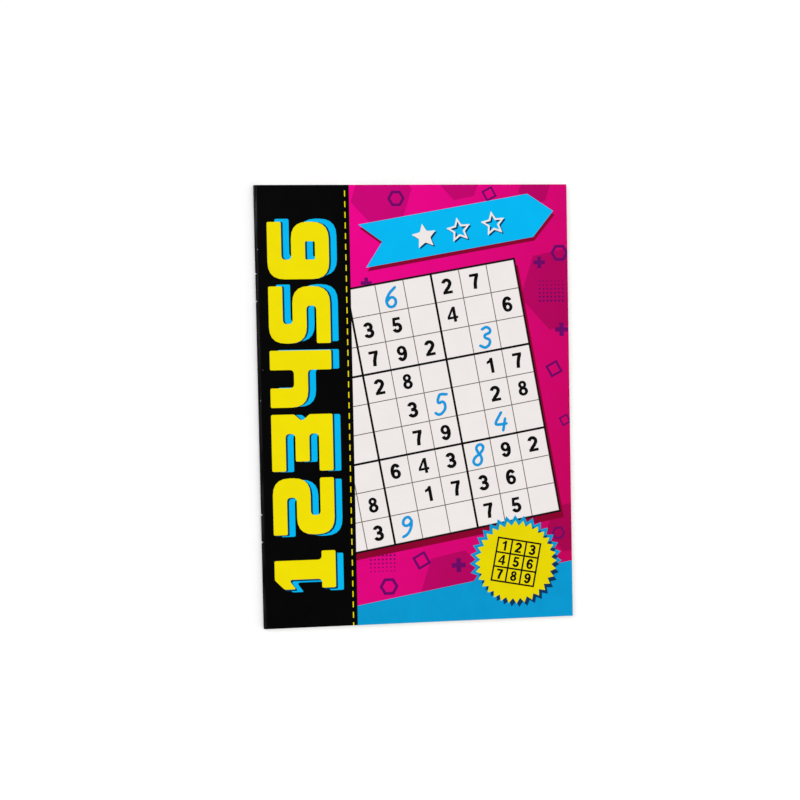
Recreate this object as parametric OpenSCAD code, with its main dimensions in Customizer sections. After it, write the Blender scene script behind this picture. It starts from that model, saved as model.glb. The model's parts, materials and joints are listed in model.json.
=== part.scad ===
// Stapled puzzle booklet: folded paper sheets in a folded card cover, held by two wire staples.
// It lies closed on its back cover, with the spine towards -X, the head towards +Y and the front cover up.
// Each sheet is split along its fold. The halves turn about the crowns of the staples.

/* [Booklet] */
// Width of the trimmed booklet, from the spine to the fore edge
page_w = 150; // [100:1:220]
// Height of the trimmed booklet, from tail to head
page_h = 210; // [140:1:300]
// Number of folded sheets inside the cover
sheet_count = 12; // [4:1:24]

/* [Paper] */
// Thickness of the inner paper
leaf_t = 0.08; // [0.06:0.01:0.16]
// Thickness of the cover card
cover_t = 0.2; // [0.14:0.01:0.4]
// Air between two leaves that lie on each other
leaf_air = 0.02; // [0.01:0.005:0.04]

/* [Staples] */
// Diameter of the staple wire
wire_d = 0.5; // [0.4:0.05:0.7]
// Length of a staple's crown over the legs
crown_l = 13.5; // [10:0.5:18]
// Distance from the head or the tail to the middle of the nearer staple
staple_inset = 48; // [30:1:60]
// Radius of the wire's bends, on its middle line
bend_r = 0.4; // [0.36:0.02:0.6]
// Gap between the two ends of the wire inside the middle fold
clinch_gap = 1.5; // [0.5:0.1:4]
// Free space round the wire in the paper
wire_clear = 0.05; // [0.04:0.01:0.1]

/* [Hidden] */
$fn = 48;
// The fold opens by this share of the air between leaves on each side of the middle plane
crease_share = 0.25;
crease_air = leaf_air * crease_share;
// A fold strip rises at 45 degrees, so a thickness measures this much more along the middle plane
fold_slant = sqrt(2);
leaf_pitch = leaf_t + leaf_air;
half_t = cover_t + sheet_count * leaf_pitch + leaf_air / 2;
leaf_count = 2 * sheet_count;

wire_r = wire_d / 2;
way_r = wire_r + wire_clear;
// Places along X from the hinge axis, which is the middle line of the crowns
crest_x = way_r;
fore_x = crest_x + page_w;
clinch_x = inner_x(sheet_count) + way_r;
leg_y = crown_l / 2 - wire_r;
// The hinge axis in the part's frame, whose origin is under the middle of the booklet
axis_x = (wire_r - fore_x) / 2;
upper_y = page_h / 2 - staple_inset;
lower_y = -upper_y;

function leaf_name(i) = str("leaf_", i < 10 ? "0" : "", i);

// Sheet 0 is the cover, sheet 1 the outermost paper sheet
function sheet_t(sheet) = sheet == 0 ? cover_t : leaf_t;
function outer_depth(sheet) = sheet == 0 ? 0 : cover_t + leaf_air + (sheet - 1) * leaf_pitch;
// Heights above the middle plane of a front leaf's outer and inner faces
function outer_z(sheet) = half_t - outer_depth(sheet);
function inner_z(sheet) = outer_z(sheet) - sheet_t(sheet);
// Where the outer and inner faces of a fold strip would meet the middle plane
function outer_x(sheet) = crest_x + outer_depth(sheet) * fold_slant;
function inner_x(sheet) = outer_x(sheet) + sheet_t(sheet) * fold_slant;

// Section of the fold strip, from the fold up to the flat leaf
function strip_section(sheet) = [
    [outer_x(sheet) + crease_air, crease_air],
    [outer_x(sheet) + outer_z(sheet), outer_z(sheet)],
    [inner_x(sheet) + inner_z(sheet), inner_z(sheet)],
    [inner_x(sheet) + crease_air, crease_air]
];
// Section of the flat leaf, from the score beside the fold strip to the fore edge
function panel_section(sheet) = [
    [outer_x(sheet) + outer_z(sheet) + leaf_air, outer_z(sheet)],
    [fore_x, outer_z(sheet)],
    [fore_x, inner_z(sheet)],
    [inner_x(sheet) + inner_z(sheet) + leaf_air, inner_z(sheet)]
];
function turned_over(section) = [for (p = [len(section) - 1:-1:0]) [section[p].x, -section[p].y]];

// Runs a section along the whole height of the booklet
module along_spine(section) {
    translate([0, page_h / 2, 0])
        rotate([90, 0, 0])
            linear_extrude(page_h)
                polygon(section);
}

// Room for one staple: a slot for each leg and, near the middle fold, a window for the bent ends
module staple_way(sheet) {
    for (side = [-1, 1])
        translate([0, side * leg_y - way_r, -way_r])
            cube([clinch_x, 2 * way_r, 2 * way_r]);
    if (inner_z(sheet) < way_r)
        translate([0, -leg_y - way_r, -half_t])
            cube([clinch_x + way_r, 2 * (leg_y + way_r), 2 * half_t]);
}

// One half of a folded sheet: above the middle plane if front, else below it
module half_sheet(sheet, front) {
    translate([axis_x, 0, half_t])
        difference() {
            for (section = [strip_section(sheet), panel_section(sheet)])
                along_spine(front ? section : turned_over(section));
            for (y = [upper_y, lower_y])
                translate([0, y, 0])
                    staple_way(sheet);
        }
}

module front_cover() {
    color("#e6007e") half_sheet(0, true);
}

module back_cover() {
    color("#e6007e") half_sheet(0, false);
}

// The leaves are counted from the front cover
module leaf(i) {
    front = i <= sheet_count;
    color("#f2efe6") half_sheet(front ? i : leaf_count + 1 - i, front);
}

// A straight length of wire along +Y
module wire_run(l) {
    rotate([-90, 0, 0])
        cylinder(d = wire_d, h = l);
}

// A quarter bend that turns the wire from +Y to -X about the origin
module wire_bend() {
    rotate_extrude(angle = 90)
        translate([bend_r, 0])
            circle(d = wire_d);
}

// Half of a staple, from the middle of its crown to its end inside the fold
module half_staple() {
    bend_y = leg_y - bend_r;
    wire_run(bend_y);
    translate([bend_r, bend_y, 0])
        rotate([0, 0, 90])
            wire_bend();
    translate([clinch_x - bend_r, leg_y, 0])
        rotate([0, 0, 90])
            wire_run(clinch_x - 2 * bend_r);
    translate([clinch_x - bend_r, bend_y, 0])
        wire_bend();
    translate([clinch_x, clinch_gap / 2, 0])
        wire_run(bend_y - clinch_gap / 2);
}

module staple(y) {
    color("#b9bcc0")
        translate([axis_x, y, half_t])
            for (side = [0, 1])
                mirror([0, side, 0])
                    half_staple();
}

front_cover();
for (i = [1:leaf_count])
    leaf(i);
back_cover();
staple(upper_y);  // upper_staple
staple(lower_y);  // lower_staple
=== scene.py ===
"""A stapled puzzle booklet, lying closed: printed card cover, paper leaves with puzzles, wire staples."""

import json
import math
import random

import bpy
from mathutils import Matrix, Vector


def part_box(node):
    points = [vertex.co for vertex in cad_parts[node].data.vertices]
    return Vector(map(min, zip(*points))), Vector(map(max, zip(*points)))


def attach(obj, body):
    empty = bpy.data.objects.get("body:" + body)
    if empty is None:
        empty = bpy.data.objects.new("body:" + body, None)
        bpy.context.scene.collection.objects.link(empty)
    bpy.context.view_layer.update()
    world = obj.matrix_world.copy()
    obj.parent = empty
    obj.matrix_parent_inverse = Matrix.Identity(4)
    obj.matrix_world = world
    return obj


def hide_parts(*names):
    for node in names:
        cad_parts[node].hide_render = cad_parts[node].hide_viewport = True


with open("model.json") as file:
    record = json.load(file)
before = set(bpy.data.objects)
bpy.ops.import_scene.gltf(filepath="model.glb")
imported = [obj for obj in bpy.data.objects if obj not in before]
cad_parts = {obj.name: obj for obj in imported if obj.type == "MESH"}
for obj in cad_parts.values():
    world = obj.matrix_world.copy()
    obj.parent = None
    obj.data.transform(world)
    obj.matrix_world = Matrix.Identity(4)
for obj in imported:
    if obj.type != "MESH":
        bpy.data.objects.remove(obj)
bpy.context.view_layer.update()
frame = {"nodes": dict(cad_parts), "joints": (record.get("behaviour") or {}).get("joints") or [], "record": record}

# Driving sizes in millimetres. MM turns them to metres.
MM = 0.001
LEAF_T = 0.08
COVER_T = 0.2
CREASE_AIR = 0.005
WIRE_D = 0.5
WIRE_CLEAR = 0.05
# Small tears in the fold of the cover, at the legs of the staples
NOTCH_DEPTH = 0.75
NOTCH_MOUTH = 1.5
NOTCH_ROOT = 0.3
NOTCH_H = 2.6
# One film of ink, drawn thicker than the real 2 microns so that films can lie on each other
INK_T = 0.006
FRONT_FILMS = 12
BACK_FILMS = 4
# The film that each print on the cover is in, counted from the card. Prints clear of each other share one.
FILM_OF = {
    "magenta_field": 0, "dashed_line": 0, "numeral_shade": 0,
    "field_hexagons": 1, "numeral_edge": 1,
    "field_motifs": 2, "numerals": 2,
    "tail_wedge": 3,
    "ribbon_shade": 4, "puzzle_shade": 4,
    "ribbon": 5, "puzzle_square": 5,
    "star_shades": 6, "puzzle_cell_lines": 6,
    "stars": 7, "puzzle_block_lines": 7, "puzzle_digits": 7, "pen_digits": 7,
    "badge_edge": 8, "badge_shade": 9, "badge": 10, "badge_lines": 11, "badge_digits": 11,
    "back_magenta_field": 0, "back_motifs": 1, "back_tail_wedge": 2, "back_pale_panel": 3,
}

# Settings of the modelling
FOLD_STEPS = 10
SMOOTH_ANGLE = math.radians(30)
# A rounded corner takes less than half of a side, so that a bit of it stays straight
CORNER_SHARE = 2.2
# Distances in metres, far below the thickness of a film
MERGE = 1e-8
CUT_REACH = 1e-7

# Places from the frame, in metres
hinge = Vector(frame["joints"][0]["pos_m"])
cover_low, cover_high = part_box("front_cover")
crest_x = cover_low.x
fore_x = cover_high.x
tail_y = cover_low.y
head_y = cover_high.y
page_w = (fore_x - crest_x) / MM
page_h = (head_y - tail_y) / MM
leaf_names = sorted(name for name in frame["nodes"] if name.startswith("leaf_"))
staple_names = sorted(name for name in frame["nodes"] if name.endswith("_staple"))
body_of = {node: body for body, nodes in frame["record"]["behaviour"]["bodies"].items() for node in nodes}

# The cover's layout in millimetres: u from the spine to the fore edge, v from the tail to the head.
# The black band along the spine, with its dashed line
BAND_W = 44.6
DASH_X = 42.6
DASH_W = 0.5
DASH_L = 2.8
DASH_PITCH = 5.02
DASH_COUNT = 42
DASH_HEAD_GAP = 2.7

# The row of numerals up the band
NUMERAL_TAIL = 14.2
NUMERAL_PITCH = 30.3
NUMERAL_W = 27.0
NUMERAL_H = 29.0
NUMERAL_LEFT = 5.6
NUMERAL_STEM = 9.2
NUMERAL_BAR = 6.6
NUMERAL_BEND = 8.0
NUMERAL_INNER = 2.0
# Between two sides that are both longer than this, a corner is a bend
NUMERAL_LONG = NUMERAL_STEM * 1.2
NUMERAL_END = 0.8
NUMERAL_WAIST = (3.4, 3.6)
# The shade falls away from the middle of the row, most at its two ends
NUMERAL_MIDDLE = 2.5
NUMERAL_SHADE_U = 3.7
NUMERAL_SHADE_V = 1.4
NUMERAL_EDGE_U = 0.9
NUMERAL_EDGE_SHARE = 0.55

# The field beside the band, which grows deeper beyond a line. Its plain shapes are given as (u, v, size).
FIELD_DEEPENS_U = 60.0
WEDGE_SPINE_V = 9.4
WEDGE_FORE_V = 27.3
BROAD_HEXAGONS = ((60, 205, 15), (98, 212, 10), (147, 160, 21), (134, 208, 8), (92, 18, 17), (150, 44, 13))
BROAD_TURN = math.radians(12)
HEXAGON_RINGS = ((67, 203.5, 4.2), (146, 177, 4.4), (143.5, 41, 3.4), (60, 18, 4.6))
HEXAGON_HOLE = 0.66
CROSSES = ((136, 172.5, 2.8), (94, 27, 3.4), (146.5, 140, 3.2), (52, 163.5, 2.6))
SQUARE_RINGS = ((142.5, 121, 6.4), (76, 30, 6.8), (112, 205.5, 5.6), (147.5, 96, 4.6))
SQUARE_TURN = math.radians(28)
# Two patches of dots as (u, v, first radius, growth with each row)
DOT_PATCHES = ((51.5, 25.5, 0.34, 0.05), (136, 154, 0.59, -0.05))
DOT_ROWS = 6
DOT_COLUMNS = 7
DOT_PITCH = 1.9

# The ribbon with its row of stars
RIBBON = [(48.8, 191.2), (130.6, 205.5), (143.2, 197.2), (133.2, 184.8), (52.1, 170.8), (60.0, 183.0)]
RIBBON_SHADE = (0.6, -1.8)
STAR_CENTRE = (97, 188.3)
STAR_PITCH = 17
STAR_R = 6.2
STAR_ROOT = 2.9
STAR_HOLE_R = 4.1
STAR_HOLE_ROOT = 1.9
STAR_CORNER = 0.5
STAR_SHADE = (0.7, -0.7)

# The tilted puzzle square. It and the badge are printed this share as wide as they are high.
PRINT_SQUEEZE = 0.9925
GRID_CENTRE = (73.15, 102.72)
GRID_SIDE = 123.7
GRID_TURN = math.radians(9.65)
GRID_SHADE = (1.8, -3.2)
GRID_BORDER = 0.8
CELL_LINE = 0.44
BLOCK_LINE = 1.05
GRID_DIGIT_H = 7.3
GRID_SEED = 7
GRID_PAIRS = 22
# Empty cells that are filled in with a pen, by row and column
PEN_CELLS = ((0, 4), (2, 7), (4, 5), (5, 7), (6, 6), (8, 3))
PEN_H = 9.85
PEN_W = 1.35
PEN_TIP_SHARE = 0.45
PEN_MIDDLE = (0.33, 0.5)

# The badge with its small square of numbers
BADGE_CENTRE = (122.15, 27.5)
BADGE_R = 20.3
BADGE_ROOT_SHARE = 0.874
BADGE_EDGE_R = 22.9
BADGE_POINTS = 32
BADGE_SHADE = (1.4, -1.8)
BADGE_TURN = math.radians(-11)
BADGE_SQUARE = 21.0
BADGE_LINE = 0.8
BADGE_DIGIT_H = 4.9

# The back of the cover. Here u runs from the fore edge to the spine.
BACK_BAND_W = 14.0
PANEL_PLACE = (14.0, 36.0)
PANEL_W = 42.0
PANEL_H = 26.0
PANEL_CORNER = 2.0
BACK_HEXAGON_RINGS = ((30, 190, 7), (104, 150, 9), (58, 96, 6), (118, 60, 5), (20, 128, 5))
BACK_HEXAGON_HOLE = 0.62
BACK_SQUARE_RINGS = ((70, 178, 6), (124, 196, 5), (40, 146, 7), (92, 112, 5), (84, 44, 6))

# The pages: a puzzle, its number above it, and the page's number at the foot
PAGE_GRID = 108.0
PAGE_GRID_V = 108.0
GUTTER_SHIFT = 3.0
PAGE_CELL_LINE = 0.3
PAGE_BLOCK_LINE = 0.9
PAGE_DIGIT_H = 6.2
# Size at which the built-in face is drawn, and the step between two digits as a share of their height
DIGIT_EM = 100.0
DIGIT_PITCH = 0.72
PAGE_SEED = 100
PAGE_PAIRS = 17
TITLE_GAP = 11
TITLE_H = 7.0
FOOT_V = 12
FOOT_INSET = 13
FOOT_H = 3.0


def srgb(code):
    """Linear colour with alpha from an sRGB hex value."""
    parts = [int(code[i:i + 2], 16) / 255 for i in (1, 3, 5)]
    return [p / 12.92 if p <= 0.04045 else ((p + 0.055) / 1.055) ** 2.4 for p in parts] + [1]


def add_node(material, kind, inputs=None, **settings):
    """Adds a node, sets its properties, and sets or links its inputs. A node links by its first output."""
    tree = material.node_tree
    node = tree.nodes.new("ShaderNode" + kind)
    for key, value in settings.items():
        setattr(node, key, value)
    for key, value in (inputs or {}).items():
        if isinstance(value, bpy.types.Node):
            value = next(output for output in value.outputs if output.enabled)
        if isinstance(value, bpy.types.NodeSocket):
            tree.links.new(value, node.inputs[key])
        else:
            node.inputs[key].default_value = value
    return node


def new_material(name):
    """An empty node material."""
    material = bpy.data.materials.new(name)
    material.use_nodes = True
    material.node_tree.nodes.clear()
    return material


def varnish(material, place, colour, roughness=0.38, gloss=0.03):
    """Finishes a printed surface: a satin varnish over the fine tooth of the paper."""
    tooth = add_node(material, "TexNoise", {"Vector": place, "Scale": 1 / (0.7 * MM), "Detail": 2})
    sheen = add_node(material, "MapRange", {
        "Value": tooth, "To Min": roughness - 0.05, "To Max": roughness + 0.05})
    bump = add_node(material, "Bump", {"Height": tooth, "Strength": 0.06, "Distance": 0.02 * MM})
    shader = add_node(material, "BsdfPrincipled", {
        "Base Color": colour, "Roughness": sheen, "Normal": bump, "IOR": 1.5, "Specular IOR Level": gloss})
    add_node(material, "OutputMaterial", {"Surface": shader})


def printed_ink(name, light, dark, **finish):
    """Offset ink under a satin varnish: even, with a faint cloudiness of a few millimetres."""
    material = new_material(name)
    place = add_node(material, "TexCoord").outputs["Object"]
    cloud = add_node(material, "TexNoise", {"Vector": place, "Scale": 1 / (9 * MM), "Detail": 4})
    colour = add_node(material, "Mix", {
        "Factor": cloud, "A": srgb(dark), "B": srgb(light)}, data_type="RGBA")
    varnish(material, place, colour, **finish)
    return material


def field_ink(name, bright, deep):
    """The cloudy ink of the field: bright at the head beside the band, deep at the tail and fore edge."""
    material = new_material(name)
    place = add_node(material, "TexCoord").outputs["Object"]
    axes = add_node(material, "SeparateXYZ", {"Vector": place})
    down = add_node(material, "MapRange", {
        "Value": axes.outputs["Y"], "From Min": head_y, "From Max": tail_y, "To Max": 0.35})
    out = add_node(material, "MapRange", {
        "Value": axes.outputs["X"], "From Min": crest_x + FIELD_DEEPENS_U * MM, "From Max": fore_x,
        "To Max": 0.55})
    depth = add_node(material, "Math", {0: down, 1: out}, operation="ADD")
    cloud = add_node(material, "TexNoise", {"Vector": place, "Scale": 1 / (9 * MM), "Detail": 4})
    uneven = add_node(material, "MapRange", {"Value": cloud, "To Min": -0.1, "To Max": 0.1})
    share = add_node(material, "Math", {0: depth, 1: uneven}, operation="ADD", use_clamp=True)
    colour = add_node(material, "Mix", {
        "Factor": share, "A": srgb(bright), "B": srgb(deep)}, data_type="RGBA")
    varnish(material, place, colour)
    return material


def worn_black(name):
    """Black ink on folded card: satin, and rubbed to the white core in specks along the fold, with a painted grey
    highlight on the rounded fold.
    """
    material = new_material(name)
    place = add_node(material, "TexCoord").outputs["Object"]
    axes = add_node(material, "SeparateXYZ", {"Vector": place})
    # Most specks are on the crest of the fold, and few beyond the width that wears
    near = add_node(material, "MapRange", {
        "Value": axes.outputs["X"], "From Min": crest_x, "From Max": crest_x + 5 * MM,
        "To Min": 0.16, "To Max": 0})
    long_grain = add_node(material, "Mapping", {"Vector": place, "Scale": (1, 0.35, 1)})
    specks = add_node(material, "TexNoise", {
        "Vector": long_grain, "Scale": 1 / (1.1 * MM), "Detail": 5, "Roughness": 0.65})
    rubbed = add_node(material, "Math", {0: specks, 1: near}, operation="ADD")
    bare = add_node(material, "MapRange", {"Value": rubbed, "From Min": 0.83, "From Max": 0.87})
    cloud = add_node(material, "TexNoise", {"Vector": place, "Scale": 1 / (7 * MM), "Detail": 3})
    ink = add_node(material, "Mix", {
        "Factor": cloud, "A": srgb("#000000"), "B": srgb("#040405")}, data_type="RGBA")
    # Painted highlight: grey streaks on the rounded fold, strongest at the head, where the fold's gloss would
    # catch the light
    streak_grain = add_node(material, "Mapping", {"Vector": place, "Scale": (1, 0.04, 1)})
    streaks = add_node(material, "TexNoise", {
        "Vector": streak_grain, "Scale": 1 / (0.6 * MM), "Detail": 3})
    round_part = add_node(material, "MapRange", {
        "Value": axes.outputs["X"], "From Min": crest_x + 0.7 * MM, "From Max": crest_x + 1.5 * MM,
        "To Min": 1, "To Max": 0})
    near_head = add_node(material, "MapRange", {
        "Value": axes.outputs["Y"], "From Min": head_y - 24 * MM, "From Max": head_y - 8 * MM,
        "To Min": 0.28, "To Max": 1})
    painted_highlight_reach = add_node(material, "Math", {0: round_part, 1: near_head}, operation="MULTIPLY")
    patchy = add_node(material, "MapRange", {"Value": streaks, "From Min": 0.38, "From Max": 0.66})
    painted_highlight = add_node(material, "Math", {0: painted_highlight_reach, 1: patchy}, operation="MULTIPLY")
    # The painted highlight turns the black ink grey in streaks along the fold
    ink = add_node(material, "Mix", {"Factor": painted_highlight, "A": ink, "B": srgb("#4c484b")}, data_type="RGBA")
    colour = add_node(material, "Mix", {"Factor": bare, "A": ink, "B": srgb("#d9d6d1")}, data_type="RGBA")
    sheen = add_node(material, "MapRange", {"Value": bare, "To Min": 0.34, "To Max": 0.8})
    tooth = add_node(material, "TexNoise", {"Vector": place, "Scale": 1 / (0.7 * MM), "Detail": 2})
    bump = add_node(material, "Bump", {"Height": tooth, "Strength": 0.06, "Distance": 0.02 * MM})
    shader = add_node(material, "BsdfPrincipled", {
        "Base Color": colour, "Roughness": sheen, "Normal": bump, "IOR": 1.5, "Specular IOR Level": 0.015})
    add_node(material, "OutputMaterial", {"Surface": shader})
    return material


def paper(name, light, dark, cut, roughness, fibre_mm):
    """Pressed wood fibre: matt and slightly warm, with faint clouds and a tooth that catches side light.
    The cut edges show grey streaks: blade marks, and painted shade that stands in for the gaps between the leaves."""
    material = new_material(name)
    place = add_node(material, "TexCoord").outputs["Object"]
    cloud = add_node(material, "TexNoise", {"Vector": place, "Scale": 1 / (5 * MM), "Detail": 6})
    flat = add_node(material, "Mix", {
        "Factor": cloud, "A": srgb(dark), "B": srgb(light)}, data_type="RGBA")
    # 1 on the three trimmed edges and 0 a tenth of a millimetre inside them
    axes = add_node(material, "SeparateXYZ", {"Vector": place})
    fore = add_node(material, "MapRange", {
        "Value": axes.outputs["X"], "From Min": fore_x - 0.1 * MM, "From Max": fore_x - 0.01 * MM})
    ends = add_node(material, "Math", {0: axes.outputs["Y"]}, operation="ABSOLUTE")
    ends = add_node(material, "MapRange", {
        "Value": ends, "From Min": head_y - 0.1 * MM, "From Max": head_y - 0.01 * MM})
    edge = add_node(material, "Math", {0: fore, 1: ends}, operation="MAXIMUM")
    # Streaks half a millimetre apart, coarser than the leaves so that they show: blade marks and painted shade of
    # the gaps between leaves
    along = add_node(material, "Mapping", {"Vector": place, "Scale": (0.02, 0.02, 1)})
    streaks = add_node(material, "TexNoise", {"Vector": along, "Scale": 1 / (0.5 * MM), "Detail": 3})
    streaks = add_node(material, "MapRange", {"Value": streaks, "From Min": 0.4, "From Max": 0.62})
    blade_marks_and_gap_shade = add_node(material, "Math", {0: edge, 1: streaks}, operation="MULTIPLY")
    # The edges are streaked with the cut colour: partly blade marks, partly painted shade of the gaps between
    # leaves
    colour = add_node(material, "Mix", {"Factor": blade_marks_and_gap_shade, "A": flat, "B": srgb(cut)}, data_type="RGBA")
    fibre = add_node(material, "TexNoise", {"Vector": place, "Scale": 1 / (fibre_mm * MM), "Detail": 4})
    bump = add_node(material, "Bump", {"Height": fibre, "Strength": 0.15, "Distance": 0.03 * MM})
    shader = add_node(material, "BsdfPrincipled", {
        "Base Color": colour, "Roughness": roughness, "Normal": bump, "IOR": 1.5, "Specular IOR Level": 0.2})
    add_node(material, "OutputMaterial", {"Surface": shader})
    return material


def drawn_wire(name):
    """Galvanised steel wire, drawn through a die: grey metal with fine lines along it and a dull bloom."""
    material = new_material(name)
    place = add_node(material, "TexCoord").outputs["Object"]
    along = add_node(material, "Mapping", {"Vector": place, "Scale": (1, 0.06, 1)})
    lines = add_node(material, "TexNoise", {"Vector": along, "Scale": 1 / (0.12 * MM), "Detail": 3})
    colour = add_node(material, "Mix", {
        "Factor": lines, "A": srgb("#8d9094"), "B": srgb("#c9ccd0")}, data_type="RGBA")
    sheen = add_node(material, "MapRange", {"Value": lines, "To Min": 0.25, "To Max": 0.45})
    shader = add_node(material, "BsdfPrincipled", {
        "Base Color": colour, "Roughness": sheen, "Metallic": 1.0})
    add_node(material, "OutputMaterial", {"Surface": shader})
    return material


# The stock, the inks and the wire, most with a lighter and a deeper tone
COATED_CARD = paper("coated_card_white", "#f6f5f2", "#efeeea", "#dcdad5", 0.6, 0.4)
UNCOATED_PAPER = paper("uncoated_paper", "#f5f2ea", "#ece8de", "#aaa598", 0.92, 0.25)
BLACK_CARD = worn_black("black_ink_on_folded_card")
MAGENTA = field_ink("magenta_ink", "#e90089", "#b40047")
DEEP_MAGENTA = field_ink("deep_magenta_ink", "#c60074", "#99003c")
PURPLE = printed_ink("purple_ink", "#6f0668", "#5e045c")
CYAN = printed_ink("cyan_ink", "#00b9f2", "#00aee8")
DEEP_CYAN = printed_ink("deep_cyan_ink", "#069bd3", "#028dc2")
YELLOW = printed_ink("yellow_ink", "#f1e200", "#e7d500")
DEEP_YELLOW = printed_ink("deep_yellow_ink", "#eada00", "#dccb00")
GRID_WHITE = printed_ink("unprinted_varnished_card", "#eee8e7", "#e7e1e0")
SHADE_INK = printed_ink("dark_red_ink", "#8e002f", "#7e0028")
NAVY = printed_ink("navy_ink", "#053764", "#032d54")
BLACK_INK = printed_ink("black_ink", "#060506", "#020202")
GREY_INK = printed_ink("grey_ink", "#766b65", "#685d57")
BLUE_INK = printed_ink("blue_pen_ink", "#129ce0", "#0b90d6")
PAGE_BLACK = printed_ink("page_black_ink", "#232122", "#191718", roughness=0.75, gloss=0.1)
PAGE_GREY = printed_ink("page_grey_ink", "#8b8884", "#7d7a76", roughness=0.75, gloss=0.1)
WIRE = drawn_wire("galvanised_steel_wire")


def pick(*objects):
    """Selects only these objects. The last one is the active one."""
    bpy.ops.object.select_all(action="DESELECT")
    for o in objects:
        o.select_set(True)
    bpy.context.view_layer.objects.active = objects[-1]


def in_scene(name, data):
    """A new object in the scene."""
    thing = bpy.data.objects.new(name, data)
    bpy.context.scene.collection.objects.link(thing)
    return thing


def as_mesh(drawn):
    """A drawn curve or text, made a mesh."""
    pick(drawn)
    bpy.ops.object.convert(target="MESH")
    return bpy.context.object


def joined(pieces, name):
    """The pieces made one, under this name."""
    pick(*pieces)
    bpy.ops.object.join()
    piece = bpy.context.object
    piece.name = name
    return piece


def settle(piece, matrix):
    """Puts a piece in its place, with the place in its mesh, one skin and faces outwards."""
    pick(piece)
    piece.matrix_world = matrix @ piece.matrix_world
    bpy.ops.object.transform_apply(location=True, rotation=True, scale=True)
    bpy.ops.object.mode_set(mode="EDIT")
    bpy.ops.mesh.select_all(action="SELECT")
    bpy.ops.mesh.remove_doubles(threshold=MERGE)
    bpy.ops.mesh.normals_make_consistent(inside=False)
    bpy.ops.object.mode_set(mode="OBJECT")
    return piece


def finished(piece, material, body):
    """Gives a piece its finish and the body it rides on."""
    piece.data.materials.clear()
    piece.data.materials.append(material)
    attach(piece, body)


def plate(name, outlines, thickness, base=0):
    """A flat plate in millimetres from closed outlines. An outline inside another one is a hole."""
    shape = bpy.data.curves.new(name, "CURVE")
    shape.dimensions = "2D"
    shape.fill_mode = "BOTH"
    shape.extrude = thickness / 2
    for outline in outlines:
        spline = shape.splines.new("POLY")
        spline.points.add(len(outline) - 1)
        for point, (x, y) in zip(spline.points, outline):
            point.co = (x, y, 0, 1)
        spline.use_cyclic_u = True
    piece = as_mesh(in_scene(name, shape))
    piece.location.z = base + thickness / 2
    bpy.context.view_layer.update()
    return piece


def moved(outline, shift):
    return [(x + shift[0], y + shift[1]) for x, y in outline]


def turned(outline, centre, angle):
    """The outline turned about the origin and then moved to the centre."""
    c, s = math.cos(angle), math.sin(angle)
    return [(centre[0] + c * x - s * y, centre[1] + s * x + c * y) for x, y in outline]


def squeezed(outline):
    return [(x * PRINT_SQUEEZE, y) for x, y in outline]


def rectangle(x0, y0, x1, y1):
    return [(x0, y0), (x1, y0), (x1, y1), (x0, y1)]


def square(half):
    """A square about the origin, from half its side."""
    return rectangle(-half, -half, half, half)


def cross(size):
    """An upright cross with four equal arms, about the origin."""
    arm = size / 3
    corners = [(arm, arm), (size, arm), (size, -arm)]
    for turn in range(3):
        corners += [(y, -x) for x, y in corners[-3:]]
    return corners


def polygon(sides, radius, start=0.0, root=None):
    """A regular polygon, or a star when a root radius is given."""
    radii = [radius, root] if root else [radius]
    steps = sides * len(radii)
    corners = []
    for i in range(steps):
        angle = start + 2 * math.pi * i / steps
        reach = radii[i % len(radii)]
        corners.append((reach * math.cos(angle), reach * math.sin(angle)))
    return corners


def rounded(outline, radius, steps=5):
    """The outline with its corners rounded off, by one radius or by one for each corner."""
    radii = radius if isinstance(radius, list) else [radius] * len(outline)
    result = []
    for i, corner in enumerate(outline):
        here = Vector(corner)
        before = Vector(outline[i - 1]) - here
        after = Vector(outline[(i + 1) % len(outline)]) - here
        cut = min(radii[i], before.length / CORNER_SHARE, after.length / CORNER_SHARE)
        start = here + before.normalized() * cut
        end = here + after.normalized() * cut
        for k in range(steps + 1):
            t = k / steps
            # A quadratic curve from one side of the corner to the other
            point = start * (1 - t) ** 2 + here * 2 * t * (1 - t) + end * t ** 2
            result.append((point.x, point.y))
    return result


def lattice(side, cells, line, border=0):
    """Outlines of a square lattice of lines, centred on the origin: its rim and a hole for each cell.
    A border lies outside the cells. Without one, the outermost lines are as the others are."""
    half = side / 2
    rim = half + (border or line / 2)
    rim_inside = 0 if border else line / 2
    pitch = side / cells
    # Each row or column of holes lies between two lines
    starts = [-half + i * pitch + (line / 2 if i else rim_inside) for i in range(cells)]
    ends = [-half + i * pitch - (line / 2 if i < cells else rim_inside) for i in range(1, cells + 1)]
    spans = list(zip(starts, ends))
    holes = [rectangle(x0, y0, x1, y1) for x0, x1 in spans for y0, y1 in spans]
    return [square(rim)] + holes


# Staples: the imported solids, with the finish of drawn wire
for name in staple_names:
    staple = frame["nodes"][name]
    staple.data.materials.clear()
    staple.data.materials.append(WIRE)


def staple_room():
    """Rings that leave room in the paper for the wire: crown, legs and the bent ends inside the fold."""
    rooms = []
    wire_r = WIRE_D / 2 * MM
    way = (WIRE_D / 2 + WIRE_CLEAR) * MM
    for name in staple_names:
        low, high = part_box(name)
        middle = (low.y + high.y) / 2
        leg = (high.y - low.y) / 2 - wire_r
        clinch = high.x - wire_r
        rim = rectangle(hinge.x - way, middle - leg - way, clinch + way, middle + leg + way)
        core = rectangle(hinge.x + way, middle - leg + way, clinch - way, middle + leg - way)
        outlines = [[(x / MM, y / MM) for x, y in outline] for outline in (rim, core)]
        room = plate(name + "_room", outlines, 2 * way / MM, (hinge.z - way) / MM)
        rooms.append(settle(room, Matrix.Scale(MM, 4)))
    return rooms


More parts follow.
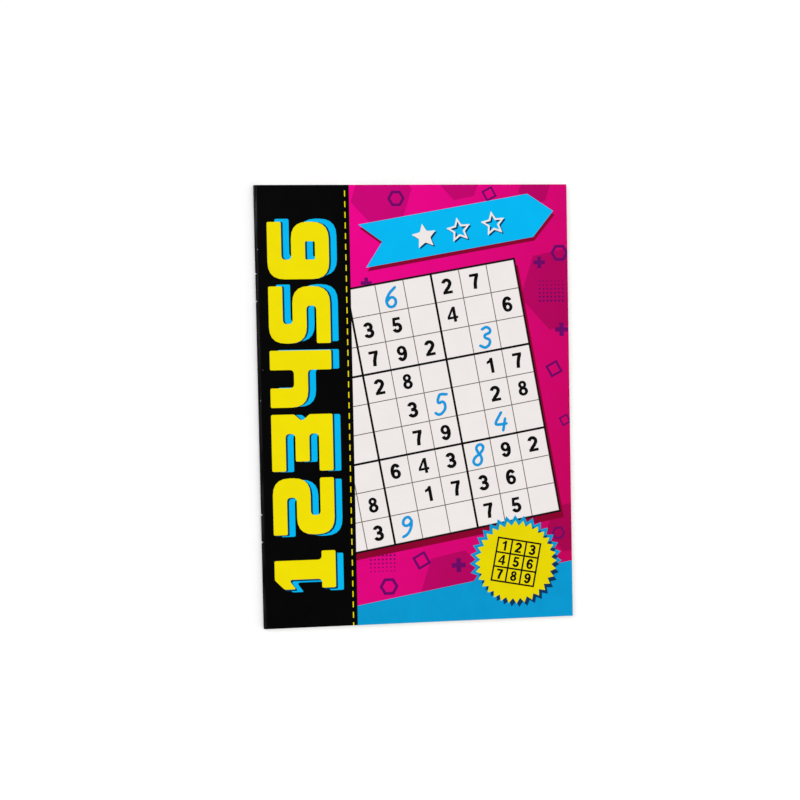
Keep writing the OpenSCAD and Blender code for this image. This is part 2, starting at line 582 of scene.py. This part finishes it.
def leg_notches():
    """Wedges for the small tears in the fold of the cover where the legs of the staples go in."""
    wedges = []
    mouth = hinge.x / MM - WIRE_D
    root = hinge.x / MM + NOTCH_DEPTH
    for name in staple_names:
        low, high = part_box(name)
        for leg in (low.y / MM + WIRE_D / 2, high.y / MM - WIRE_D / 2):
            outline = [(mouth, leg - NOTCH_MOUTH / 2), (root, leg - NOTCH_ROOT / 2),
                       (root, leg + NOTCH_ROOT / 2), (mouth, leg + NOTCH_MOUTH / 2)]
            wedge = plate(name + "_notch", [outline], NOTCH_H, hinge.z / MM - NOTCH_H / 2)
            wedges.append(settle(wedge, Matrix.Scale(MM, 4)))
    return wedges


cutters = staple_room()
notches = leg_notches()


def half_sheet(node, name, thickness, inset=0, crest=None, extra_cuts=()):
    """Half a folded sheet: a flat leaf that curls over a quarter round into the fold, or to a given crest.
    Inset leaves room for ink."""
    low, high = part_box(node)
    side = 1 if high.z + low.z > 2 * hinge.z else -1
    radius = max(high.z - hinge.z, hinge.z - low.z) - inset
    middle_r = radius - thickness / 2
    bend_x = low.x + radius + inset
    bend_centre = (bend_x, 0, hinge.z)
    bpy.ops.object.select_all(action="DESELECT")
    bpy.ops.mesh.primitive_cube_add(size=1)
    piece = bpy.context.object
    piece.name = name
    piece.dimensions = (high.x - bend_x, high.y - low.y, thickness)
    piece.location = ((high.x + bend_x) / 2, (high.y + low.y) / 2, hinge.z + side * middle_r)
    bpy.ops.object.transform_apply(location=True, rotation=True, scale=True)
    # The end face at the spine is swept round the fold
    bpy.ops.object.mode_set(mode="EDIT")
    bpy.ops.mesh.select_mode(type="FACE")
    bpy.ops.mesh.select_all(action="DESELECT")
    bpy.ops.object.mode_set(mode="OBJECT")
    for face in piece.data.polygons:
        face.select = face.normal.x < -0.5
    bpy.ops.object.mode_set(mode="EDIT")
    sweep = math.pi / 2 - math.asin(CREASE_AIR * MM / middle_r)
    bpy.ops.mesh.spin(steps=FOLD_STEPS, angle=side * sweep, center=bend_centre, axis=(0, 1, 0))
    bpy.ops.object.mode_set(mode="OBJECT")
    if crest is not None:
        for vertex in piece.data.vertices:
            vertex.select = vertex.co.x < bend_x - MERGE
        bpy.ops.object.mode_set(mode="EDIT")
        bpy.ops.mesh.select_mode(type="VERT")
        bpy.ops.transform.resize(value=((bend_x - crest) / radius, 1, 1), center_override=bend_centre)
        bpy.ops.object.mode_set(mode="OBJECT")
    settle(piece, Matrix.Identity(4))
    for cutter in [*cutters, *extra_cuts]:
        cut = piece.modifiers.new("staple_room", "BOOLEAN")
        cut.operation = "DIFFERENCE"
        cut.object = cutter
        pick(piece)
        bpy.ops.object.modifier_apply(modifier=cut.name)
    bpy.ops.object.shade_smooth_by_angle(angle=SMOOTH_ANGLE)
    return piece


def outer_faces(piece):
    """The faces on the outside of a half of the cover, without its cut edges."""
    bend_x = crest_x + (cover_high.z - hinge.z)
    found = []
    for face in piece.data.polygons:
        away = Vector((min(0, face.center.x - bend_x), 0, face.center.z - hinge.z))
        # The edges at head and tail look along Y, the fore edge looks along +X
        if abs(face.normal.y) < 0.3 and face.normal.dot(away) > 0 and face.normal.x < 0.5:
            found.append(face)
    return found


# The cover: white card inside and at its cut edges, black outside
front_inset = FRONT_FILMS * INK_T * MM
back_inset = BACK_FILMS * INK_T * MM
# Both halves reach up to the hinge, so that no slit shows at the spine when the cover is open
cover_crest = hinge.x + CREASE_AIR * MM
for node, inset in (("front_cover", front_inset), ("back_cover", back_inset)):
    card = half_sheet(node, node + "_card", COVER_T * MM - inset, inset, cover_crest, notches)
    finished(card, COATED_CARD, body_of[node])
    card.data.materials.append(BLACK_CARD)
    for face in outer_faces(card):
        face.material_index = 1
    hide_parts(node)


def face_up(z):
    """A face that looks up at this height: millimetres from the spine and the tail."""
    return Matrix.Translation((crest_x, tail_y, z)) @ Matrix.Scale(MM, 4)


def face_down(z):
    """A face that looks down at this height: millimetres from the fore edge and the tail."""
    return Matrix.Translation((fore_x, tail_y, z)) @ Matrix.Rotation(math.pi, 4, "Y") @ Matrix.Scale(MM, 4)


front_face = face_up(cover_high.z - front_inset)
back_face = face_down(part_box("back_cover")[0].z + back_inset)


def lay_film(piece, ink, crop=False, body="front_cover", face=front_face):
    """Lays a film of ink on the cover. Crop cuts it off at the borders of the field beside the band."""
    settle(piece, face)
    borders = [((crest_x + BAND_W * MM, 0, 0), (1, 0, 0)), ((fore_x, 0, 0), (-1, 0, 0)),
               ((0, tail_y, 0), (0, 1, 0)), ((0, head_y, 0), (0, -1, 0))]
    for place, inwards in borders if crop else []:
        bpy.ops.object.mode_set(mode="EDIT")
        bpy.ops.mesh.select_all(action="SELECT")
        bpy.ops.mesh.bisect(
            plane_co=place, plane_no=inwards, use_fill=True, clear_inner=True, threshold=CUT_REACH)
        bpy.ops.object.mode_set(mode="OBJECT")
    finished(piece, ink, body_of[body])


def cover_film(name, outlines, ink, **laying):
    """A film of ink from its outlines, in its layer on the cover."""
    lay_film(plate(name, outlines, INK_T, FILM_OF[name] * INK_T), ink, **laying)


def back_film(name, outlines, ink):
    """A film of ink on the back of the cover."""
    cover_film(name, outlines, ink, body="back_cover", face=back_face)


# The field beside the band
cover_film("magenta_field", [rectangle(BAND_W, 0, page_w, page_h)], MAGENTA)
wedge = [(BAND_W, 0), (page_w, 0), (page_w, WEDGE_FORE_V), (BAND_W, WEDGE_SPINE_V)]
cover_film("tail_wedge", [wedge], DEEP_CYAN)

# Dashed line down the band
dashes = []
for i in range(DASH_COUNT):
    top = page_h - DASH_HEAD_GAP - i * DASH_PITCH
    dashes.append(rectangle(DASH_X - DASH_W / 2, max(0, top - DASH_L), DASH_X + DASH_W / 2, top))
cover_film("dashed_line", dashes, YELLOW)


def bent(outline):
    """A numeral's outline with broad round bends, small inner corners and crisp ends."""
    radii = []
    for i, corner in enumerate(outline):
        before = Vector(corner) - Vector(outline[i - 1])
        after = Vector(outline[(i + 1) % len(outline)]) - Vector(corner)
        if before.cross(after) < 0:
            radii.append(NUMERAL_INNER)
        elif min(before.length, after.length) > NUMERAL_LONG:
            radii.append(NUMERAL_BEND)
        else:
            radii.append(NUMERAL_END)
    return rounded(outline, radii)


def block_numerals():
    """Outlines of the numerals 1 to 6, in bars and stems."""
    x0, x1, x2, x3 = 0, NUMERAL_STEM, NUMERAL_W - NUMERAL_STEM, NUMERAL_W
    y0, y1, y4, y5 = 0, NUMERAL_BAR, NUMERAL_H - NUMERAL_BAR, NUMERAL_H
    y2, y3 = (NUMERAL_H - NUMERAL_BAR) / 2, (NUMERAL_H + NUMERAL_BAR) / 2
    mid0, mid1 = (NUMERAL_W - NUMERAL_STEM) / 2, (NUMERAL_W + NUMERAL_STEM) / 2
    flag = mid0 - NUMERAL_STEM / 2
    waist_in, waist_half = NUMERAL_WAIST
    return [
        [[(x1 / 2, y0), (x3 - x1 / 2, y0), (x3 - x1 / 2, y1), (mid1, y1), (mid1, y5), (mid0, y5),
          (flag, y4 + NUMERAL_INNER), (flag, y4 - NUMERAL_BAR / 2), (mid0, y4), (mid0, y1), (x1 / 2, y1)]],
        [[(x0, y0), (x3, y0), (x3, y1), (x1, y1), (x1, y2), (x3, y2), (x3, y5), (x0, y5), (x0, y4), (x2, y4),
          (x2, y3), (x0, y3)]],
        [[(x0, y0), (x3, y0), (x3, NUMERAL_H / 2 - waist_half), (x3 - waist_in, NUMERAL_H / 2),
          (x3, NUMERAL_H / 2 + waist_half), (x3, y5), (x0, y5), (x0, y4), (x2, y4), (x2, y3), (x1 / 2, y3),
          (x1 / 2, y2), (x2, y2), (x2, y1), (x0, y1)]],
        [[(x2, y0), (x3, y0), (x3, y5), (x2, y5), (x2, y3), (x1, y3), (x1, y5), (x0, y5), (x0, y2),
          (x2, y2)]],
        [[(x0, y0), (x3, y0), (x3, y3), (x1, y3), (x1, y4), (x3, y4), (x3, y5), (x0, y5), (x0, y2), (x2, y2),
          (x2, y1), (x0, y1)]],
        [[(x0, y0), (x3, y0), (x3, y3), (x1, y3), (x1, y4), (x3, y4), (x3, y5), (x0, y5)],
         rectangle(x1, y1, x2, y2)],
    ]


# Big numerals up the band, read from the tail to the head
numerals, numeral_edges, numeral_shades = [], [], []
for i, outlines in enumerate(block_numerals()):
    foot = (NUMERAL_LEFT + NUMERAL_H, NUMERAL_TAIL + i * NUMERAL_PITCH)
    shade_v = NUMERAL_SHADE_V * (i / NUMERAL_MIDDLE - 1)
    for outline in outlines:
        numeral = turned(bent(outline), foot, math.pi / 2)
        numerals.append(numeral)
        numeral_edges.append(moved(numeral, (NUMERAL_EDGE_U, NUMERAL_EDGE_SHARE * min(0, shade_v))))
        numeral_shades.append(moved(numeral, (NUMERAL_SHADE_U, shade_v)))
cover_film("numeral_shade", numeral_shades, CYAN)
cover_film("numeral_edge", numeral_edges, NAVY)
cover_film("numerals", numerals, YELLOW)


def hexagon_rings(places, hole):
    """Hexagons, each with a hole that is this share of its size."""
    return [moved(polygon(6, size * share), (u, v)) for u, v, size in places for share in (1, hole)]


def square_rings(places):
    """Tilted squares, each with a square hole two thirds of its size."""
    return [turned(square(size / part), (u, v), SQUARE_TURN) for u, v, size in places for part in (2, 3)]


# Plain shapes scattered over the field: broad hexagons in a deeper tone under small figures in purple
broad = [moved(polygon(6, size, BROAD_TURN), (u, v)) for u, v, size in BROAD_HEXAGONS]
cover_film("field_hexagons", broad, DEEP_MAGENTA, crop=True)
crosses = [moved(cross(size), (u, v)) for u, v, size in CROSSES]
dots = [moved(polygon(8, radius + growth * row), (u + DOT_PITCH * column, v + DOT_PITCH * row))
        for u, v, radius, growth in DOT_PATCHES for row in range(DOT_ROWS) for column in range(DOT_COLUMNS)]
motifs = hexagon_rings(HEXAGON_RINGS, HEXAGON_HOLE) + crosses + square_rings(SQUARE_RINGS) + dots
cover_film("field_motifs", motifs, PURPLE, crop=True)

# Ribbon with a row of stars, the first one solid and the others with a hole
cover_film("ribbon_shade", [moved(RIBBON, RIBBON_SHADE)], SHADE_INK)
cover_film("ribbon", [RIBBON], CYAN)
ribbon_turn = math.atan2(RIBBON[1][1] - RIBBON[0][1], RIBBON[1][0] - RIBBON[0][0])
star = rounded(polygon(5, STAR_R, math.pi / 2 + ribbon_turn, STAR_ROOT), STAR_CORNER, 3)
star_hole = polygon(5, STAR_HOLE_R, math.pi / 2 + ribbon_turn, STAR_HOLE_ROOT)
stars = []
for i in (-1, 0, 1):
    centre = turned([(STAR_PITCH * i, 0)], STAR_CENTRE, ribbon_turn)[0]
    stars += [moved(outline, centre) for outline in ([star, star_hole] if i > -1 else [star])]
cover_film("star_shades", [moved(outline, STAR_SHADE) for outline in stars], NAVY)
cover_film("stars", stars, GRID_WHITE)

# Badge with a small square of numbers, which comes after the digits
burst, broad_burst = [
    moved(squeezed(polygon(BADGE_POINTS, radius, 0, radius * BADGE_ROOT_SHARE)), BADGE_CENTRE)
    for radius in (BADGE_R, BADGE_EDGE_R)]
cover_film("badge_edge", [broad_burst], DEEP_CYAN)
cover_film("badge_shade", [moved(burst, BADGE_SHADE)], NAVY)
cover_film("badge", [burst], DEEP_YELLOW)


def on_grid(outlines):
    """Outlines in the puzzle square's own frame, laid on the cover."""
    return [turned(squeezed(outline), GRID_CENTRE, GRID_TURN) for outline in outlines]


# The tilted puzzle square
puzzle_square = on_grid([square(GRID_SIDE / 2 + GRID_BORDER / 2)])
cover_film("puzzle_shade", [moved(outline, GRID_SHADE) for outline in puzzle_square], SHADE_INK, crop=True)
cover_film("puzzle_square", puzzle_square, GRID_WHITE, crop=True)
cover_film("puzzle_cell_lines", on_grid(lattice(GRID_SIDE, 9, CELL_LINE)), GREY_INK, crop=True)
block_lines = on_grid(lattice(GRID_SIDE, 3, BLOCK_LINE, GRID_BORDER))
cover_film("puzzle_block_lines", block_lines, BLACK_INK, crop=True)


def shuffled_lines(draw):
    """The nine rows or columns in a new order that keeps three of a block together."""
    return [3 * block + line for block in draw.sample(range(3), 3) for line in draw.sample(range(3), 3)]


def puzzle(seed, pairs):
    """A full grid of digits by rows, and which of its cells are printed, from one number."""
    draw = random.Random(seed)
    rows = shuffled_lines(draw)
    columns = shuffled_lines(draw)
    digits = draw.sample(range(1, 10), 9)
    full = [[digits[(3 * (r % 3) + r // 3 + c) % 9] for c in columns] for r in rows]
    # Two cells that face each other across the centre are printed together
    printed = set()
    for cell in draw.sample(range(41), pairs):
        printed |= {cell, 80 - cell}
    return full, printed


# The cover's digits: a bold plain face, one unit high, drawn from strokes of one width
BOLD_W = 0.6
BOLD_STROKE = 0.22
BOLD_BAR = 0.185
BOLD_STRETCH = 1.06


def arc(centre, radii, start, end, steps=16):
    """Points along an ellipse from one angle to another, in degrees."""
    angles = [math.radians(start + (end - start) * i / steps) for i in range(steps + 1)]
    return [(centre[0] + radii[0] * math.cos(a), centre[1] + radii[1] * math.sin(a)) for a in angles]


def ring(centre, radii, hole):
    """An ellipse with an elliptical hole, each of 24 points that don't come back to the first."""
    return [arc(centre, radii, 0, 345, 23), arc(centre, hole, 0, 345, 23)]


def stroke_outline(line):
    """The outline of a stroke along a line of points, cut off square at both ends."""
    points = [Vector(p) for p in line]
    left, right = [], []
    for i, point in enumerate(points):
        along = (points[min(i + 1, len(points) - 1)] - points[max(i - 1, 0)]).normalized()
        across = Vector((-along.y, along.x)) * BOLD_STROKE / 2
        left.append(tuple(point + across))
        right.append(tuple(point - across))
    return [left + right[::-1]]


bold_six = [ring((0.3, 0.32), (0.3, 0.32), (0.095, 0.13)),
            stroke_outline([(0.09, 0.34), *arc((0.32, 0.5), (0.23, 0.41), 180, 35)])]
BOLD_DIGITS = {
    1: [[[(0.2, 0), (0.4, 0), (0.4, 1), (0.24, 1), (0.15, 0.87), (0, 0.79), (0, 0.62), (0.2, 0.69)]]],
    2: [stroke_outline([*arc((0.3, 0.69), (0.21, 0.22), 170, -25), (0.38, 0.42), (0.22, 0.26), (0.12, 0.1)]),
        [rectangle(0, 0, 0.6, BOLD_BAR)]],
    3: [stroke_outline([*arc((0.29, 0.71), (0.19, 0.2), 165, -90), (0.2, 0.51)]),
        stroke_outline([(0.2, 0.51), *arc((0.29, 0.3), (0.22, 0.21), 90, -165)])],
    4: [[[(0.37, 0), (0.56, 0), (0.56, 0.21), (0.67, 0.21), (0.67, 0.37), (0.56, 0.37), (0.56, 1), (0.38, 1),
          (0, 0.37), (0, 0.21), (0.37, 0.21)], [(0.37, 0.37), (0.37, 0.72), (0.17, 0.37)]]],
    5: [[rectangle(0.12, 1 - BOLD_BAR, 0.56, 1)], [[(0.1, 1), (0.27, 1), (0.22, 0.45), (0.04, 0.45)]],
        stroke_outline(arc((0.3, 0.32), (0.21, 0.23), 140, -165))],
    6: bold_six,
    7: [[rectangle(0, 1 - BOLD_BAR, 0.58, 1)],
        stroke_outline([(0.49, 0.9), (0.39, 0.66), (0.3, 0.36), (0.26, 0)])],
    8: [ring((0.3, 0.735), (0.26, 0.265), (0.075, 0.095)), ring((0.3, 0.295), (0.3, 0.295), (0.1, 0.115))],
    9: [[[(BOLD_W - x, 1 - y) for x, y in outline] for outline in part] for part in bold_six],
}


def make_bold_digit(parts):
    """A digit made one from its parts, centred on the origin."""
    plates = [plate("bold_digit", outlines, 1) for outlines in parts]
    piece = plates[0]
    for part in plates[1:]:
        union = piece.modifiers.new("part", "BOOLEAN")
        union.operation = "UNION"
        union.object = part
        pick(piece)
        bpy.ops.object.modifier_apply(modifier=union.name)
        bpy.data.objects.remove(part)
    width = max(x for outlines in parts for x, y in outlines[0])
    settle(piece, Matrix.Diagonal((BOLD_STRETCH, 1, 1, 1)) @ Matrix.Translation((-width / 2, -0.5, -0.5)))
    mesh = piece.data
    bpy.data.objects.remove(piece)
    return mesh


def make_page_digit(body):
    """A digit of the plain built-in face, one unit high and thick, centred on the origin."""
    bpy.ops.object.select_all(action="DESELECT")
    bpy.ops.object.text_add()
    text = bpy.context.object
    text.data.body = body
    text.data.size = DIGIT_EM
    text.data.resolution_u = 2
    text.data.extrude = 0.5
    piece = as_mesh(text)
    corners = [v.co.copy() for v in piece.data.vertices]
    low = Vector([min(c[i] for c in corners) for i in range(3)])
    high = Vector([max(c[i] for c in corners) for i in range(3)])
    middle = (low + high) / 2
    scale = 1 / (high.y - low.y)
    piece.data.transform(Matrix.Diagonal((scale, scale, 1, 1)) @ Matrix.Translation(-middle))
    mesh = piece.data
    bpy.data.objects.remove(piece)
    return mesh


def print_digits(name, meshes, places, turn=0.0):
    """One film with all these digits: (digit, x, y, height)."""
    middle_z = FILM_OF.get(name, 0) * INK_T + INK_T / 2
    copies = []
    for digit, x, y, height in places:
        copy = in_scene(name, meshes[digit].copy())
        copy.matrix_world = (Matrix.Translation((x, y, middle_z)) @ Matrix.Rotation(turn, 4, "Z")
                             @ Matrix.Diagonal((height, height, INK_T, 1)))
        copies.append(copy)
    piece = joined(copies, name)
    bpy.ops.object.transform_apply(location=True, rotation=True, scale=True)
    return piece


bold_digits = {d: make_bold_digit(parts) for d, parts in BOLD_DIGITS.items()}
page_digits = {d: make_page_digit(str(d)) for d in range(10)}

# The digits of the tilted square: most are printed, a few are written with a pen
cell = GRID_SIDE / 9
full, printed = puzzle(GRID_SEED, GRID_PAIRS)
printed_places, pen_places = [], []
for r in range(9):
    for c in range(9):
        u, v = on_grid([[((c - 4) * cell, (4 - r) * cell)]])[0][0]
        if 9 * r + c in printed:
            printed_places.append((full[r][c], u, v, GRID_DIGIT_H))
        elif (r, c) in PEN_CELLS:
            pen_places.append((full[r][c], u, v))
lay_film(print_digits("puzzle_digits", bold_digits, printed_places, GRID_TURN), BLACK_INK, crop=True)

# Strokes of the digits that the pen writes, in a box one unit high. Two near points make a tight turn.
PEN_STROKES = {
    3: [[(0.12, 0.88), (0.42, 1.0), (0.58, 0.8), (0.3, 0.56), (0.56, 0.34), (0.36, 0.02), (0.02, 0.12)]],
    4: [[(0.38, 1.0), (0.08, 0.4), (0.11, 0.36), (0.68, 0.4)], [(0.56, 0.7), (0.44, 0.0)]],
    5: [[(0.7, 0.99), (0.3, 0.97), (0.27, 0.93), (0.21, 0.6), (0.25, 0.57), (0.44, 0.62), (0.56, 0.4),
         (0.45, 0.12), (0.24, 0.0), (0.02, 0.1)]],
    6: [[(0.54, 1.0), (0.2, 0.6), (0.1, 0.2), (0.32, 0.0), (0.54, 0.24), (0.36, 0.47), (0.15, 0.32),
         (0.12, 0.24)]],
    8: [[(0.56, 0.76), (0.56, 0.9), (0.41, 1.0), (0.24, 0.88), (0.3, 0.62), (0.46, 0.4), (0.46, 0.14),
         (0.28, 0.0), (0.09, 0.12), (0.14, 0.34), (0.38, 0.54), (0.55, 0.76), (0.57, 0.86)]],
    9: [[(0.6, 0.86), (0.42, 1.0), (0.2, 0.84), (0.22, 0.62), (0.42, 0.6), (0.57, 0.76), (0.6, 0.88)],
        [(0.6, 0.9), (0.56, 0.5), (0.38, 0.17), (0.12, 0.0)]],
}


def with_tips(stroke):
    """The stroke's points with their share of the pen's width: both ends narrow to a tip."""
    points = [Vector(p) for p in stroke]
    inset = PEN_W / 2 / PEN_H
    first = points[0] + (points[1] - points[0]).normalized() * inset
    last = points[-1] + (points[-2] - points[-1]).normalized() * inset
    return [(points[0], PEN_TIP_SHARE), (first, 1), *((p, 1) for p in points[1:-1]), (last, 1),
            (points[-1], PEN_TIP_SHARE)]


def write_digits(name, places):
    """Digits written with a pen: round strokes pressed flat to the thickness of a film."""
    shape = bpy.data.curves.new(name, "CURVE")
    shape.dimensions = "3D"
    shape.bevel_depth = PEN_W / 2
    shape.bevel_resolution = 2
    shape.resolution_u = 8
    shape.use_fill_caps = True
    for digit, u, v in places:
        for stroke in PEN_STROKES[digit]:
            points = with_tips(stroke)
            spline = shape.splines.new("BEZIER")
            spline.bezier_points.add(len(points) - 1)
            for point, (place, share) in zip(spline.bezier_points, points):
                point.co = (u + (place.x - PEN_MIDDLE[0]) * PEN_H, v + (place.y - PEN_MIDDLE[1]) * PEN_H, 0)
                point.radius = share
                point.handle_left_type = "AUTO"
                point.handle_right_type = "AUTO"
    piece = as_mesh(in_scene(name, shape))
    piece.scale.z = INK_T / PEN_W
    piece.location.z = (FILM_OF[name] + 0.5) * INK_T
    bpy.context.view_layer.update()
    return piece


lay_film(write_digits("pen_digits", pen_places), BLUE_INK, crop=True)

# The badge's square of numbers
badge_lines = lattice(BADGE_SQUARE, 3, BADGE_LINE)
cover_film("badge_lines", [turned(outline, BADGE_CENTRE, BADGE_TURN) for outline in badge_lines], BLACK_INK)
badge_places = []
for i in range(9):
    x, y = (i % 3 - 1) * BADGE_SQUARE / 3, (1 - i // 3) * BADGE_SQUARE / 3
    u, v = turned([(x, y)], BADGE_CENTRE, BADGE_TURN)[0]
    badge_places.append((i + 1, u, v, BADGE_DIGIT_H))
lay_film(print_digits("badge_digits", bold_digits, badge_places, BADGE_TURN), BLACK_INK)

# The back of the cover: the field goes on behind a narrow band, with the wedge and a bare pale panel
back_field_w = page_w - BACK_BAND_W
back_film("back_magenta_field", [rectangle(0, 0, back_field_w, page_h)], MAGENTA)
back_wedge = [(0, 0), (back_field_w, 0), (back_field_w, WEDGE_SPINE_V), (0, WEDGE_FORE_V)]
back_film("back_tail_wedge", [back_wedge], DEEP_CYAN)
panel = rounded(moved(rectangle(0, 0, PANEL_W, PANEL_H), PANEL_PLACE), PANEL_CORNER)
back_film("back_pale_panel", [panel], GRID_WHITE)
back_motifs = hexagon_rings(BACK_HEXAGON_RINGS, BACK_HEXAGON_HOLE) + square_rings(BACK_SQUARE_RINGS)
back_film("back_motifs", back_motifs, PURPLE)

# Leaves, each with a puzzle on both pages
page_cell_lines = plate("page_cell_lines", lattice(PAGE_GRID, 9, PAGE_CELL_LINE), INK_T)
page_block_lines = plate("page_block_lines", lattice(PAGE_GRID, 3, PAGE_BLOCK_LINE), INK_T)


def digit_row(number, x, y, height):
    """Places of a whole number's digits, centred on x."""
    body = str(number)
    step = height * DIGIT_PITCH
    return [(int(d), x + (i - (len(body) - 1) / 2) * step, y, height) for i, d in enumerate(body)]


def page_print(name, number, face, centre_u, number_u):
    """The print of one page: lattice, clues, the puzzle's number above and the page's number at the foot."""
    parts = []
    for lines, ink in ((page_cell_lines, PAGE_GREY), (page_block_lines, PAGE_BLACK)):
        copy = in_scene(name, lines.data.copy())
        copy.data.materials.append(ink)
        copy.matrix_world = Matrix.Translation((centre_u, PAGE_GRID_V, INK_T / 2))
        parts.append(copy)
    full, printed = puzzle(PAGE_SEED + number, PAGE_PAIRS)
    step = PAGE_GRID / 9
    places = []
    for i in sorted(printed):
        row, column = divmod(i, 9)
        u, v = centre_u + (column - 4) * step, PAGE_GRID_V + (4 - row) * step
        places.append((full[row][column], u, v, PAGE_DIGIT_H))
    places += digit_row(number, centre_u, PAGE_GRID_V + PAGE_GRID / 2 + TITLE_GAP, TITLE_H)
    places += digit_row(number, number_u, FOOT_V, FOOT_H)
    digits = print_digits(name, page_digits, places)
    digits.data.materials.append(PAGE_BLACK)
    parts.append(digits)
    return settle(joined(parts, name), face)


for i, node in enumerate(leaf_names):
    leaf = half_sheet(node, node + "_paper", LEAF_T * MM)
    finished(leaf, UNCOATED_PAPER, body_of[node])
    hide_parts(node)
    low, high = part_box(node)
    above = high.z + low.z > 2 * hinge.z
    top = high.z if above else low.z + LEAF_T * MM
    name = node + "_print"
    under = top - LEAF_T * MM
    recto = page_print(name, 2 * i + 1, face_up(top), page_w / 2 + GUTTER_SHIFT, page_w - FOOT_INSET)
    verso = page_print(name, 2 * i + 2, face_down(under), page_w / 2 - GUTTER_SHIFT, FOOT_INSET)
    pages = joined([recto, verso], name)
    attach(pages, body_of[node])

for spare in [*cutters, *notches, page_cell_lines, page_block_lines]:
    bpy.data.objects.remove(spare)

# Floor, light and camera, in metres. The floor lies a hair under the booklet.
FLOOR_SIDE = 6.0
FLOOR_DROP = 0.02 * MM
bpy.ops.object.select_all(action="DESELECT")
bpy.ops.mesh.primitive_plane_add(size=FLOOR_SIDE, location=(0, 0, -FLOOR_DROP))
floor = bpy.context.object
floor.name = "floor"
floor_paint = new_material("white_studio_paper")
floor_shader = add_node(floor_paint, "BsdfPrincipled", {
    "Base Color": srgb("#fdfdfd"), "Roughness": 0.95, "Specular IOR Level": 0.0})
add_node(floor_paint, "OutputMaterial", {"Surface": floor_shader})
floor.data.materials.append(floor_paint)

# The world is white where it is seen, and lights the booklet at a plain level
AMBIENT = 0.5
world = bpy.data.worlds.new("studio")
bpy.context.scene.world = world
world.use_nodes = True
world.node_tree.nodes.clear()
path = add_node(world, "LightPath")
seen = add_node(world, "Math", {
    0: path.outputs["Is Camera Ray"], 1: path.outputs["Is Glossy Ray"]}, operation="ADD")
seen = add_node(world, "Math", {
    0: seen, 1: path.outputs["Is Transmission Ray"]}, operation="ADD", use_clamp=True)
strength = add_node(world, "MapRange", {"Value": seen, "To Min": AMBIENT, "To Max": 1.0})
sky = add_node(world, "Background", {"Color": srgb("#ffffff"), "Strength": strength})
add_node(world, "OutputWorld", {"Surface": sky})

# Two broad lamps: where they point, the share of white that one alone gives a level sheet, and their breadth
LAMPS = (("key_light", (0.55, -0.45, -1.0), 0.34, 50), ("fill_light", (-0.7, 0.3, -1.0), 0.2, 90))
for name, aim, share, breadth in LAMPS:
    lamp = bpy.data.lights.new(name, "SUN")
    slope = Vector(aim).normalized()
    lamp.energy = share * math.pi / -slope.z
    lamp.angle = math.radians(breadth)
    in_scene(name, lamp).rotation_euler = slope.to_track_quat("-Z", "Y").to_euler()

# The camera, from the four corners of the cover in the picture, which is 800 pixels wide
IMAGE_PX = 800
FOCAL_PX = 1100
camera_place = Vector((-0.0632, 0.0191, 0.5259))
camera_view = Vector((0.1055, -0.0315, -0.9939)).normalized()
camera_up = Vector((0.0229, 0.9993, -0.0292))
camera_right = camera_view.cross(camera_up).normalized()
camera_up = camera_right.cross(camera_view)
lens = bpy.data.cameras.new("camera")
lens.sensor_width = 36
lens.lens = FOCAL_PX / IMAGE_PX * lens.sensor_width
lens.clip_start = 0.01
camera = in_scene("camera", lens)
turn = Matrix((camera_right, camera_up, -camera_view)).transposed().to_4x4()
camera.matrix_world = Matrix.Translation(camera_place) @ turn
bpy.context.scene.camera = camera
bpy.context.scene.view_settings.view_transform = "Standard"
